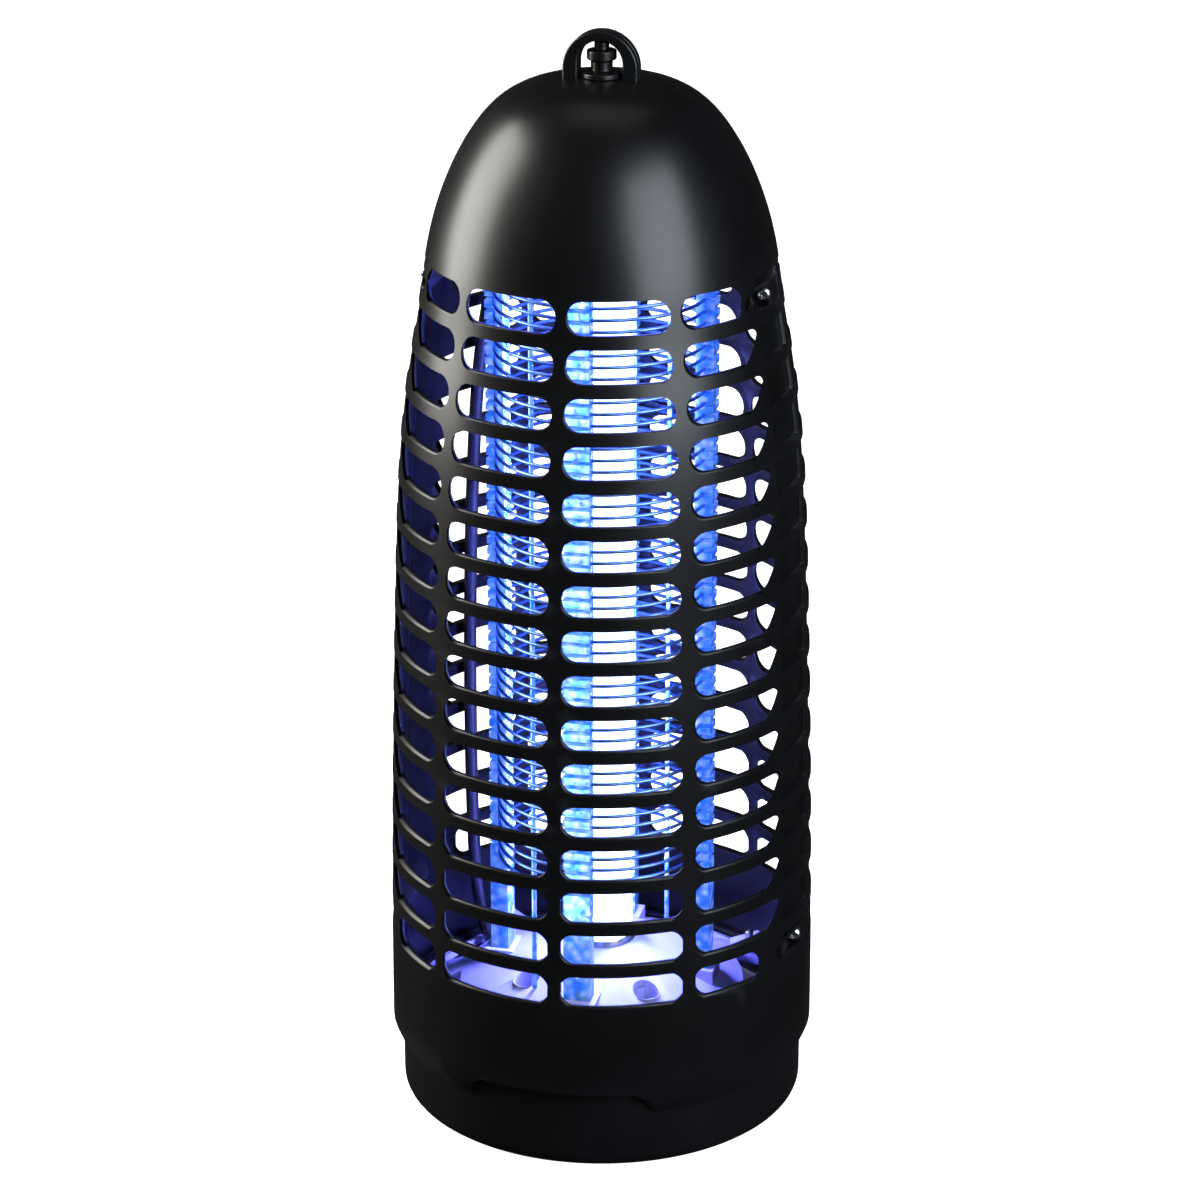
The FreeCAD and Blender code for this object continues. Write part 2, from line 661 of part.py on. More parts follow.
# ------------------------------------------------------------------- upper deck, board
def upper_deck():
    plate = tube(UPPER_DECK_R, UPPER_DECK_Z, UPPER_DECK_Z + UPPER_DECK_THICK, LAMP_R + 0.9)
    holes = [peg(a, GRID_R, BUS_R + 0.1, 220, 240) for a in (-90, 90)]
    holes += [peg(a, GRID_R, CLEAR_R, 220, 240) for a in (0, 180)]
    holes += [peg(a, BOARD_POST_R, SCREW_R, 220, 240) for a in BOARD_POST_ANGLES]
    holes += [peg(a, HOLDER_SCREW_R, SCREW_R, 220, 240) for a in (0, 180)]
    holes.append(block(LEAD_ANGLE, 32.0, 50.0, 6.0, 220, 240))
    out(plate.cut(holes), "upper_deck")


def board():
    top = BOARD_Z + BOARD_THICK
    plate = tube(BOARD_R, BOARD_Z, top, BOARD_HOLE_R)
    holes = [peg(a, GRID_R, BUS_R + 0.3, 230, 240) for a in (-90, 90)]
    holes += [peg(a, BOARD_POST_R, CLEAR_R, 230, 240) for a in BOARD_POST_ANGLES]
    holes.append(block(LEAD_ANGLE, 29.6, 50.0, 5.0, 230, 240))
    out(plate.cut(holes), "circuit_board")
    deck_top = UPPER_DECK_Z + UPPER_DECK_THICK
    posts = [peg(a, BOARD_POST_R, 2.6, deck_top, BOARD_Z).cut(peg(a, BOARD_POST_R, 1.2, 225, 240))
             for a in BOARD_POST_ANGLES]
    out(Part.makeCompound(posts), "board_standoffs")
    screws = []
    for a in BOARD_POST_ANGLES:
        piece = screw(2.1, 1.4, SCREW_R, 9.4)
        piece.translate(polar(BOARD_POST_R, a, top))
        screws.append(piece)
    out(Part.makeCompound(screws), "board_screws")


def components():
    top = BOARD_Z + BOARD_THICK
    caps = [block(a, PARTS_RING_R - 3.2, PARTS_RING_R + 3.2, 9.0, top, top + 8.5)
            for a in CAPACITOR_ANGLES]
    out(Part.makeCompound(caps), "film_capacitors")
    core = joined([block(CHOKE_ANGLE, 20.0, 27.5, 7.5, top + 1.5, top + 9.5),
                   block(CHOKE_ANGLE, 18.5, 29.0, 9.5, top, top + 1.5),
                   block(CHOKE_ANGLE, 18.5, 29.0, 9.5, top + 9.5, top + 11.0)])
    out(core, "ballast_choke")
    out(peg(CAN_ANGLE, PARTS_RING_R, 4.0, top, top + 11.0), "smoothing_capacitor")
    diodes = []
    for a in (-68, -60, -52, -44):
        diodes.append(Part.makeCylinder(1.3, 5.2, polar(19.5, a, top + 1.3), polar(1, a)))
    out(Part.makeCompound(diodes), "diodes")
    resistors = [Part.makeCylinder(1.6, 7.0, polar(19.6, a, top + 1.6), polar(1, a))
                 for a in (-78, -101, -113)]
    out(Part.makeCompound(resistors), "bleed_resistors")
    fuse = Part.makeCylinder(2.3, 9.0, polar(19.2, FUSE_ANGLE, top + 2.3), polar(1, FUSE_ANGLE))
    out(fuse, "fuse")
    terminals = block(TERMINAL_ANGLE, 19.0, 28.0, 12.0, top, top + 8.0)
    wells = []
    for shift in (-3.0, 3.0):
        well = Part.makeCylinder(1.6, 5.0, Vec(shift, -23.5, top + 4.0))
        well.rotate(ORIGIN, UP, -152)
        wells.append(well)
    out(terminals.cut(wells), "terminal_block")


def lamp_lead():
    """Lead from the lower lampholder, under the deck and up the rear shell to the board."""
    route = [(13.0, 21.8), (24.0, 21.8), (35.0, 17.8), (42.0, 24.0), (47.0, 40.0), (48.2, 70.0),
             (48.0, 115.0), (46.4, 155.0), (43.6, 187.0), (38.8, 208.0), (34.6, 221.0),
             (33.6, 236.8)]
    points = [polar(r, LEAD_ANGLE, z) for r, z in route]
    out(lead(points, LEAD_R), "lower_lamp_lead")


housing()
inlet()
tray()
lower_deck()
lower_lampholder()
lamp()
upper_lampholder()
grid()
upper_deck()
board()
components()
lamp_lead()
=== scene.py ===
import json
import math

import bmesh
import bpy
import numpy as np
from mathutils import Matrix, Vector


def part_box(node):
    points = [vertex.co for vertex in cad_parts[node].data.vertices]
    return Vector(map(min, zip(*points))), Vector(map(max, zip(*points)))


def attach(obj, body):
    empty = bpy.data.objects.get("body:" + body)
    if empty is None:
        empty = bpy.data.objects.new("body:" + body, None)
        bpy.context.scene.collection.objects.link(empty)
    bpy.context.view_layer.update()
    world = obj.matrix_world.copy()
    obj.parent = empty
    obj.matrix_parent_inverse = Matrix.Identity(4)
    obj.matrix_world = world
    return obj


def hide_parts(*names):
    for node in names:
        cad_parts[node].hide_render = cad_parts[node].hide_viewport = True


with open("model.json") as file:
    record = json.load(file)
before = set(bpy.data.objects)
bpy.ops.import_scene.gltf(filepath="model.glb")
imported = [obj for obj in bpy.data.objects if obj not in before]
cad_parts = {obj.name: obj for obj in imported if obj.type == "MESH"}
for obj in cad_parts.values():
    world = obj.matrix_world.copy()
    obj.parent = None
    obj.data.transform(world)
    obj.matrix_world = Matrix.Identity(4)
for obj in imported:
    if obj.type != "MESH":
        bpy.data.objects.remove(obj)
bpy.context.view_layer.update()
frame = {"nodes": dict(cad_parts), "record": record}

MM = 0.001
HOUSING = "housing"
TRAY = "tray"

# ------------------------------------------------- sizes of the housing, in millimetres
OUTLINE = [
    (54.6, 20.0), (54.4, 51.0), (53.5, 96.0), (51.9, 145.0), (50.1, 177.0), (47.5, 198.0),
    (44.9, 213.0), (42.4, 228.4), (37.8, 243.4), (32.0, 254.5), (24.4, 263.0),
    (15.7, 267.0), (0.0, 268.0),
]
APEX_Z = OUTLINE[-1][1]
BASE_R = OUTLINE[0][0]
WALL = 2.2
RIM_Z = 16.0
RIM_R = 52.9
CHAMFER_TOP = 20.0
ROWS = 16
TOP_ROW_Z = 220.2
ROW_PITCH = 11.33
WINDOW_H = 8.4
BAR_ANGLE = 36.0
BAR_HALF_ANGLE = 1.6
STRIP_ANGLE = 68.9
OUTER_END = 67.7
OUTER_ENDS = {0: 62.0, ROWS - 1: 59.0}
LOW_ROWS = 12
ROUND_CORNER = (3.6, 0.85)
CUT_CORNER = (2.7, 0.55)
POCKET = (70.0, 88.6)
POCKET_DEPTH = 1.2
DIAGONAL_CORNER = (6.4, 6.9, 0.28)
CORNER_OVER_DIAGONAL = (1.9, 1.3, 0.8)
DOME_BLEND = (227.0, 238.0)
DOME_STEPS = 30
CROWN_SLOPE = -8.0
BASE_HEIGHTS = [39.5, 34.5, 29.5, 25.5]
SKIN_EDGE = 0.32
NOTCH_ANGLE = 24.5
NOTCH_RISE = 5.6
NOTCH_EASE = 2.2
NOTCH_CHAMFER = 0.3
NOTCH_CHAMFER_H = 0.7
SCREW_ROWS_Z = (TOP_ROW_Z - 1.2, 50.0)
SCREW_INSET = 2.2
SEAT_Y = 8.0
RECESS_R = 2.4
BOSS_R = 3.4
BOSS_INSET = 0.12
MOULD_LOW_Z = 24.0
COLLAR_Y = 20.0
LOOP_R = 9.25
LOOP_TOP = 279.5
LOOP_BAND = 3.7
LOOP_CROWN = 2.3
LOOP_DEPTH = 2.5
LAMP_R = 8.0
GRID_R = 26.4
WIRE_R = 0.45
WIRE_SIDES = 10
WIRE_PITCH = 2.94
RING_GAP = 2.6
RING_STEPS = 120
BUS_R = 0.8
GRID_LOW_Z = 65.0
GRID_RINGS = 54
LEAD_R = 1.7
LEAD_ANGLE = -121.0
INLET_Z = 238.0
INLET_R = 3.0
GROMMET_WALL = 1.4
TRAY_R = 52.0
TRAY_EDGE = 3.5
TRAY_TOP = 23.4
TRAY_WALL = 1.7
TRAY_FLOOR = 2.8
TRAY_UNDERCUT = 0.8
LINER_TOP = 15.0
LINER_WALL = 1.2


# ------------------------------------------------------------------------ node helpers
def new_material(name):
    mat = bpy.data.materials.new(name)
    mat.use_nodes = True
    tree = mat.node_tree
    return mat, tree, tree.nodes["Principled BSDF"]


def add(tree, kind, **settings):
    node = tree.nodes.new(kind)
    for key, value in settings.items():
        if key in node.inputs:
            node.inputs[key].default_value = value
        else:
            setattr(node, key, value)
    return node


def noise(tree, scale, detail=4.0, roughness=0.55):
    """Noise in object space, in metres."""
    where = tree.nodes.new("ShaderNodeTexCoord")
    node = add(tree, "ShaderNodeTexNoise")
    node.inputs["Scale"].default_value = scale
    node.inputs["Detail"].default_value = detail
    node.inputs["Roughness"].default_value = roughness
    tree.links.new(where.outputs["Object"], node.inputs["Vector"])
    return node.outputs["Fac"]


def ramp(tree, socket, stops):
    node = tree.nodes.new("ShaderNodeValToRGB")
    elements = node.color_ramp.elements
    while len(elements) < len(stops):
        elements.new(0.5)
    for element, (place, colour) in zip(elements, stops):
        element.position = place
        element.color = (*colour, 1.0)
    tree.links.new(socket, node.inputs["Fac"])
    return node.outputs["Color"]


def span(tree, socket, low, high):
    """Maps a 0 to 1 value to a range."""
    node = add(tree, "ShaderNodeMapRange")
    node.inputs["To Min"].default_value = low
    node.inputs["To Max"].default_value = high
    tree.links.new(socket, node.inputs["Value"])
    return node.outputs["Result"]


def bump(tree, shader, layers):
    """Chains bump nodes: (height socket, strength, distance in metres)."""
    normal = None
    for height, strength, distance in layers:
        node = add(tree, "ShaderNodeBump")
        node.inputs["Strength"].default_value = strength
        node.inputs["Distance"].default_value = distance
        tree.links.new(height, node.inputs["Height"])
        if normal:
            tree.links.new(normal, node.inputs["Normal"])
        normal = node.outputs["Normal"]
    tree.links.new(normal, shader.inputs["Normal"])


def painted_edge_highlight(tree, base_colour, edge_colour, amount):
    """Base colour that lightens a little on convex edges, a painted highlight where edges catch the
    light.
    """
    geometry = tree.nodes.new("ShaderNodeNewGeometry")
    edge = ramp(tree, geometry.outputs["Pointiness"], [(0.5, (0, 0, 0)), (0.62, (amount,) * 3)])
    mix = add(tree, "ShaderNodeMix", data_type="RGBA")
    tree.links.new(edge, mix.inputs["Factor"])
    tree.links.new(base_colour, mix.inputs["A"])
    mix.inputs["B"].default_value = (*edge_colour, 1.0)
    return mix.outputs["Result"]


# --------------------------------------------------------------------------- materials
def black_plastic():
    mat, tree, shader = new_material("black_moulded_plastic")
    tint = ramp(tree, noise(tree, 38.0, 3.0),
                [(0.3, (0.0016, 0.0016, 0.0018)), (0.75, (0.004, 0.004, 0.0045))])
    # Painted highlight: the black plastic's base colour is lighter along convex edges.
    tree.links.new(painted_edge_highlight(tree, tint, (0.03, 0.03, 0.034), 0.3), shader.inputs["Base Color"])
    rough = span(tree, noise(tree, 60.0, 5.0, 0.6), 0.27, 0.36)
    tree.links.new(rough, shader.inputs["Roughness"])
    shader.inputs["Specular IOR Level"].default_value = 0.32
    bump(tree, shader, [(noise(tree, 22.0, 2.0), 0.10, 0.0012),
                        (noise(tree, 2600.0, 2.0), 0.10, 0.00004)])
    return mat


def white_plastic():
    mat, tree, shader = new_material("white_moulded_plastic")
    tint = ramp(tree, noise(tree, 45.0, 4.0), [(0.3, (0.38, 0.39, 0.54)), (0.75, (0.48, 0.49, 0.62))])
    tree.links.new(tint, shader.inputs["Base Color"])
    tree.links.new(span(tree, noise(tree, 90.0), 0.34, 0.46), shader.inputs["Roughness"])
    bump(tree, shader, [(noise(tree, 2000.0, 2.0), 0.12, 0.00004)])
    return mat


def clear_plastic():
    mat, tree, shader = new_material("clear_comb_plastic")
    where = tree.nodes.new("ShaderNodeTexCoord")
    bubbles = add(tree, "ShaderNodeTexVoronoi", feature="SMOOTH_F1", Scale=430.0)
    tree.links.new(where.outputs["Object"], bubbles.inputs["Vector"])
    cells = bubbles.outputs["Distance"]
    tint = ramp(tree, cells, [(0.1, (0.80, 0.90, 1.0)), (0.55, (0.10, 0.36, 0.80))])
    tree.links.new(tint, shader.inputs["Base Color"])
    shader.inputs["IOR"].default_value = 1.49
    shader.inputs["Transmission Weight"].default_value = 0.6
    tree.links.new(span(tree, noise(tree, 250.0), 0.08, 0.3), shader.inputs["Roughness"])
    # Painted glow: the clear plastic gives off blue light of its own, though it is no lamp; it stands
    # in for the tube's light caught in the plastic.
    glow = ramp(tree, cells, [(0.05, (0.20, 0.38, 0.85)), (0.6, (0.01, 0.12, 0.48))])
    tree.links.new(glow, shader.inputs["Emission Color"])
    shader.inputs["Emission Strength"].default_value = 0.28
    bump(tree, shader, [(cells, 0.8, 0.0008)])
    return mat


def lit_lamp():
    mat, tree, shader = new_material("lit_phosphor_tube")
    fog = noise(tree, 30.0, 2.0)
    glow = ramp(tree, fog, [(0.3, (0.55, 0.66, 1.0)), (0.7, (0.66, 0.76, 1.0))])
    tree.links.new(glow, shader.inputs["Emission Color"])
    shader.inputs["Emission Strength"].default_value = 3.2
    shader.inputs["Base Color"].default_value = (0.9, 0.92, 1.0, 1.0)
    tree.links.new(span(tree, fog, 0.10, 0.18), shader.inputs["Roughness"])
    return mat


def metal(name, dark, light, rough, scale):
    mat, tree, shader = new_material(name)
    grain = noise(tree, scale, 5.0, 0.6)
    tree.links.new(ramp(tree, grain, [(0.3, dark), (0.7, light)]), shader.inputs["Base Color"])
    shader.inputs["Metallic"].default_value = 1.0
    tree.links.new(span(tree, grain, rough * 0.75, rough * 1.35), shader.inputs["Roughness"])
    bump(tree, shader, [(grain, 0.08, 0.00005)])
    return mat


def coloured(name, dark, light, rough, scale=60.0):
    """Plain moulded, dipped or lacquered finish with a mottled colour."""
    mat, tree, shader = new_material(name)
    tree.links.new(ramp(tree, noise(tree, scale, 4.0), [(0.3, dark), (0.7, light)]),
                   shader.inputs["Base Color"])
    tree.links.new(span(tree, noise(tree, scale * 2), rough * 0.8, rough * 1.2),
                   shader.inputs["Roughness"])
    bump(tree, shader, [(noise(tree, 900.0, 3.0), 0.2, 0.00008)])
    return mat


def board_material():
    mat, tree, shader = new_material("circuit_board_mask")
    weave = add(tree, "ShaderNodeTexBrick")
    where = tree.nodes.new("ShaderNodeTexCoord")
    tree.links.new(where.outputs["Object"], weave.inputs["Vector"])
    weave.inputs["Scale"].default_value = 260.0
    weave.inputs["Color1"].default_value = (0.03, 0.19, 0.07, 1)
    weave.inputs["Color2"].default_value = (0.04, 0.23, 0.09, 1)
    weave.inputs["Mortar"].default_value = (0.05, 0.30, 0.12, 1)
    weave.inputs["Mortar Size"].default_value = 0.03
    tree.links.new(weave.outputs["Color"], shader.inputs["Base Color"])
    tree.links.new(span(tree, noise(tree, 120.0), 0.3, 0.42), shader.inputs["Roughness"])
    bump(tree, shader, [(weave.outputs["Fac"], 0.2, 0.00003)])
    return mat


def fuse_glass():
    mat, tree, shader = new_material("fuse_glass_tube")
    shader.inputs["Transmission Weight"].default_value = 0.85
    shader.inputs["IOR"].default_value = 1.5
    smear = noise(tree, 150.0)
    tree.links.new(ramp(tree, smear, [(0.3, (0.8, 0.86, 0.84)), (0.7, (0.95, 0.98, 0.96))]),
                   shader.inputs["Base Color"])
    tree.links.new(span(tree, smear, 0.04, 0.1), shader.inputs["Roughness"])
    return mat


MATERIALS = {
    "black_plastic": black_plastic(),
    "white_plastic": white_plastic(),
    "clear_plastic": clear_plastic(),
    "lit_lamp": lit_lamp(),
    "lamp_cap": metal("lamp_cap_aluminium", (0.62, 0.63, 0.65), (0.80, 0.81, 0.83), 0.28, 300.0),
    "brass_pin": metal("brass_pin", (0.60, 0.45, 0.20), (0.83, 0.66, 0.34), 0.25, 500.0),
    "grid_wire": metal("plated_grid_wire", (0.14, 0.30, 0.70), (0.30, 0.52, 0.95), 0.3, 700.0),
    "screw_steel": metal("zinc_plated_screw", (0.55, 0.55, 0.56), (0.83, 0.83, 0.84), 0.24, 900.0),
    "black_rubber": coloured("soft_black_rubber", (0.01, 0.01, 0.01), (0.022, 0.022, 0.022), 0.6),
    "black_cable": coloured("glossy_black_sheath", (0.006, 0.006, 0.007), (0.014, 0.014, 0.016),
                            0.18),
    "board": board_material(),
    "capacitor_film": coloured("dipped_capacitor", (0.34, 0.07, 0.02), (0.52, 0.14, 0.05), 0.22),
    "capacitor_can": coloured("capacitor_sleeve", (0.03, 0.04, 0.09), (0.06, 0.07, 0.14), 0.3),
    "choke_core": coloured("ferrite_core", (0.06, 0.055, 0.055), (0.11, 0.10, 0.10), 0.55, 200.0),
    "diode_body": coloured("diode_epoxy", (0.015, 0.015, 0.015), (0.04, 0.04, 0.04), 0.45),
    "resistor_body": coloured("resistor_lacquer", (0.48, 0.38, 0.22), (0.62, 0.52, 0.34), 0.35),
    "fuse_glass": fuse_glass(),
    "terminal_green": coloured("terminal_block_green", (0.04, 0.24, 0.10), (0.07, 0.34, 0.16), 0.4),
}
SLOTS = {entry["node"]: entry["material_slot"] for entry in frame["record"]["subparts"]}


# ------------------------------------------------------------------------ mesh helpers
def shade_smooth(mesh):
    mesh.polygons.foreach_set("use_smooth", [True] * len(mesh.polygons))


def bevelled(piece, width, segments=3, angle=32.0):
    modifier = piece.modifiers.new("edge", "BEVEL")
    modifier.width = width * MM
    modifier.segments = segments
    modifier.limit_method = "ANGLE"
    modifier.angle_limit = math.radians(angle)
    modifier.harden_normals = True
    return piece


def settle(piece):
    """Applies the modifiers, so that the mesh is final."""
    graph = bpy.context.evaluated_depsgraph_get()
    final = bpy.data.meshes.new_from_object(piece.evaluated_get(graph))
    piece.modifiers.clear()
    piece.data = final
    return piece


def mesh_piece(name, verts, faces, slot, body, stands_for=()):
    """Piece from vertices in millimetres."""
    mesh = bpy.data.meshes.new(name)
    mesh.from_pydata([Vector(v) * MM for v in verts], [], faces)
    mesh.validate()
    clean = bmesh.new()
    clean.from_mesh(mesh)
    bmesh.ops.remove_doubles(clean, verts=clean.verts, dist=1e-7)
    bmesh.ops.recalc_face_normals(clean, faces=clean.faces)
    clean.to_mesh(mesh)
    clean.free()
    shade_smooth(mesh)
    piece = bpy.data.objects.new(name, mesh)
    bpy.context.scene.collection.objects.link(piece)
    return dress(piece, slot, body, stands_for)


def dress(piece, slot, body, stands_for=()):
    piece.data.materials.clear()
    piece.data.materials.append(MATERIALS[slot])
    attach(piece, body)
    if stands_for:
        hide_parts(*stands_for)
    return piece


def polar(radius, angle, z=0.0):
    """Point at an angle from the front, growing towards +X, in millimetres."""
    a = math.radians(angle)
    return Vector((radius * math.sin(a), -radius * math.cos(a), z))


def turned(name, profile, slot, body, stands_for=(), steps=128, bevel=0.0):
    """Piece turned about the axis from (radius, z) points that start and end on it."""
    verts = []
    faces = []
    for r, z in profile:
        count = 1 if r < 1e-6 else steps
        verts.append([polar(r, 360 * i / count, z) for i in range(count)])
    starts = np.cumsum([0] + [len(ring) for ring in verts])
    for k in range(len(verts) - 1):
        a, b = verts[k], verts[k + 1]
        for i in range(steps):
            j = (i + 1) % steps
            ring_a = [starts[k] + (i % len(a)), starts[k] + (j % len(a))]
            ring_b = [starts[k + 1] + (j % len(b)), starts[k + 1] + (i % len(b))]
            face = list(dict.fromkeys(int(v) for v in ring_a + ring_b))
            if len(face) > 2:
                faces.append(face)
    piece = mesh_piece(name, [v for ring in verts for v in ring], faces, slot, body, stands_for)
    if bevel:
        settle(bevelled(piece, bevel))
    return piece


def refined(node, width):
    """A CAD node's own shape, with its flat faces made whole and its edges rounded."""
    source = frame["nodes"][node]
    mesh = source.data.copy()
    clean = bmesh.new()
    clean.from_mesh(mesh)
    bmesh.ops.remove_doubles(clean, verts=clean.verts, dist=2e-6)
    bmesh.ops.dissolve_limit(clean, angle_limit=math.radians(2.0), verts=clean.verts,
                             edges=clean.edges)
    clean.to_mesh(mesh)
    clean.free()
    shade_smooth(mesh)
    piece = bpy.data.objects.new(node + "_finish", mesh)
    bpy.context.scene.collection.objects.link(piece)
    body = next(b for b, nodes in frame["record"]["behaviour"]["bodies"].items() if node in nodes)
    settle(bevelled(piece, width, 2, 35.0))
    dress(piece, SLOTS[node], body, (node,))


# --------------------------------------------------------------------- housing surface
def spline_samples(points, count=60):
    """Smooth curve through the outline's points: vertical at the rim, level at the crown."""
    p = np.array(points, float)
    h = np.linalg.norm(np.diff(p, axis=0), axis=1)
    n = len(p)
    left = np.eye(n)
    right = np.zeros((n, 2))
    right[0] = (0.0, 1.0)
    right[-1] = (-1.0, 0.0)
    for i in range(1, n - 1):
        left[i, i - 1:i + 2] = (h[i], 2 * (h[i - 1] + h[i]), h[i - 1])
        right[i] = 3 * (h[i] * (p[i] - p[i - 1]) / h[i - 1] + h[i - 1] * (p[i + 1] - p[i]) / h[i])
    slope = np.linalg.solve(left, right)
    samples = []
    for i in range(n - 1):
        for t in np.linspace(0, 1, count, endpoint=False):
            samples.append((2 * t**3 - 3 * t**2 + 1) * p[i] + (t**3 - 2 * t**2 + t) * h[i] * slope[i]
                           + (3 * t**2 - 2 * t**3) * p[i + 1] + (t**3 - t**2) * h[i] * slope[i + 1])
    samples.append(p[-1])
    samples = np.array(samples)
    samples[:, 1] = np.minimum(samples[:, 1], APEX_Z - 0.002 * samples[:, 0])
    return samples


TRACE = spline_samples(OUTLINE)
TRACE_LENGTH = np.concatenate([[0], np.cumsum(np.linalg.norm(np.diff(TRACE, axis=0), axis=1))])


def radius_at(z):
    return float(np.interp(z, TRACE[:, 1], TRACE[:, 0]))


def slope_at(z):
    return (radius_at(z + 0.5) - radius_at(z - 0.5)) if z < APEX_Z - 1 else CROWN_SLOPE


def smooth_step(low, high, x):
    t = min(max((x - low) / (high - low), 0.0), 1.0)
    return t * t * (3 - 2 * t)


def skin_point(theta, z, depth):
    """Point at a depth under the outer face. Below the dome the wall is cut level and along Y."""
    r = radius_at(z)
    if depth <= 0:
        return polar(r, theta, z)
    slope = slope_at(z)
    length = math.hypot(1.0, slope)
    dome = smooth_step(*DOME_BLEND, z)
    level = depth * length
    off_r = level * (1 - dome) + depth / length * dome
    off_z = depth * slope / length * dome
    inner = max(r - off_r, 0.0)
    if dome < 1 and abs(theta) < 90:
        side = math.copysign(1.0, theta)

        def pulled(a):
            """Angle at which a cut along Y from the outer face at angle a meets the inner face."""
            return math.degrees(math.asin(min(1.0, r * math.sin(math.radians(a)) / (r - level))))
        if abs(theta) <= OUTER_END:
            moved = pulled(abs(theta))
        else:
            edge = pulled(OUTER_END)
            moved = edge + (90 - edge) * (abs(theta) - OUTER_END) / (90 - OUTER_END)
        theta = side * (moved * (1 - dome) + abs(theta) * dome)
    return polar(inner, theta, z + off_z)


class Shell:
    """Half shell built as one closed mesh from cells on its outer and inner faces."""

    ALONG = 12
    ALONG_STRIP = 6
    UP = 6

    def __init__(self):
        self.verts = []
        self.places = {}
        self.faces = []

    def vert(self, theta, z, depth):
        key = (round(theta, 4), round(z, 4), round(depth, 3))
        if z >= APEX_Z - 1e-6:
            key = (0.0, APEX_Z, round(depth, 3))
        if key not in self.places:
            point = skin_point(theta, z, depth)
            if z >= APEX_Z - 1e-6:
                point = Vector((0, 0, APEX_Z - depth))
            self.places[key] = len(self.verts)
            self.verts.append(point)
        return self.places[key]

    def rim_vert(self, theta, z, radius):
        key = ("rim", round(theta, 4), round(z, 4), round(radius, 3))
        if key not in self.places:
            self.places[key] = len(self.verts)
            self.verts.append(polar(radius, theta, z))
        return self.places[key]

    def face(self, *corners):
        corners = list(dict.fromkeys(corners))
        if len(corners) > 2:
            self.faces.append(corners)

    def band(self, line_a, line_b):
        """Quads between two rows of vertices."""
        for i in range(len(line_a) - 1):
            self.face(line_a[i], line_a[i + 1], line_b[i + 1], line_b[i])

    def grid(self, thetas, heights, depth):
        lines = [[self.vert(t, z, depth) for t in thetas] for z in heights]
        for a, b in zip(lines, lines[1:]):
            self.band(a, b)

    def seam(self, heights):
        """Closes the wall on the plane where the two halves meet."""
        for theta in (-90.0, 90.0):
            self.band([self.vert(theta, z, 0.0) for z in heights],
                      [self.vert(theta, z, WALL) for z in heights])

    def loop_points(self, thetas, heights):
        """Cell edge, anticlockwise from the lower left corner, closed."""
        low, high = heights[0], heights[-1]
        points = [(t, low) for t in thetas[:-1]]
        points += [(thetas[-1], z) for z in heights[:-1]]
        points += [(t, high) for t in reversed(thetas[1:])]
        points += [(thetas[0], z) for z in reversed(heights[1:])]
        return points + points[:1]

    def window_cell(self, thetas, heights, outline):
        edge = self.loop_points(thetas, heights)
        for depth in (0.0, WALL):
            self.band([self.vert(t, z, depth) for t, z in edge],
                      [self.vert(t, z, depth) for t, z in outline])
        self.band([self.vert(t, z, 0.0) for t, z in outline],
                  [self.vert(t, z, WALL) for t, z in outline])

    def pocket_cell(self, thetas, heights, low_angle, high_angle, low_z, high_z):
        inner_t = list(np.linspace(low_angle, high_angle, len(thetas)))
        inner_z = list(np.linspace(low_z, high_z, len(heights)))
        edge = self.loop_points(thetas, heights)
        outline = self.loop_points(inner_t, inner_z)
        self.band([self.vert(t, z, 0.0) for t, z in edge],
                  [self.vert(t, z, 0.0) for t, z in outline])
        self.band([self.vert(t, z, 0.0) for t, z in outline],
                  [self.vert(t, z, POCKET_DEPTH) for t, z in outline])
        self.grid(inner_t, inner_z, POCKET_DEPTH)
        self.grid(thetas, heights, WALL)


def window_outline(low_angle, high_angle, low, high, corner, diagonal, mirrored):
    """Rounded window edge as (angle, z), matched point for point to its cell's edge."""
    along, up = Shell.ALONG, Shell.UP
    reach, roundness = corner
    scale = radius_at((low + high) / 2) * math.pi / 180
    width = (high_angle - low_angle) * scale
    height = high - low
    corners = {name: (reach, reach, roundness) for name in ("bl", "br", "tr", "tl")}
    if diagonal:
        corners["br"] = DIAGONAL_CORNER
        corners["tr"] = CORNER_OVER_DIAGONAL

    def corner_point(name, t):
        """Point of a corner for t from its level end (0) to its upright end (1)."""
        cx, cz, arc = corners[name]
        phi = t * math.pi / 2
        x = arc * cx * (1 - math.sin(phi)) + (1 - arc) * cx * (1 - t)
        z = arc * cz * (1 - math.cos(phi)) + (1 - arc) * cz * t
        x = x if name[1] == "l" else width - x
        z = z if name[0] == "b" else height - z
        return x, z

    def side(first, second, count, corner_steps, level):
        """Points along one side, from the middle of one corner to the middle of the next."""
        points = []
        middle = 0.5
        end = 0.0 if level else 1.0
        for i in range(corner_steps + 1):
            points.append(corner_point(first, middle + (end - middle) * i / corner_steps))
        straight = count - 2 * corner_steps
        start, stop = points[-1], corner_point(second, end)
        for i in range(1, straight):
            k = i / straight
            points.append((start[0] + (stop[0] - start[0]) * k, start[1] + (stop[1] - start[1]) * k))
        for i in range(corner_steps):
            points.append(corner_point(second, end + (middle - end) * i / corner_steps))
        return points

    points = side("bl", "br", along, 3, True) + side("br", "tr", up, 2, False)
    points += side("tr", "tl", along, 3, True) + side("tl", "bl", up, 2, False)
    outline = [(low_angle + x / scale, low + z) for x, z in points]
    if mirrored:
        count = len(outline)
        outline = [(-outline[(along - k) % count][0], outline[(along - k) % count][1])
                   for k in range(count)]
    return outline + outline[:1]


def rim_height(theta):
    """Lower edge of the housing, with its finger notch."""
    away = smooth_step(NOTCH_ANGLE - NOTCH_EASE, NOTCH_ANGLE + NOTCH_EASE, abs(theta))
    return RIM_Z + NOTCH_RISE * (1 - away)


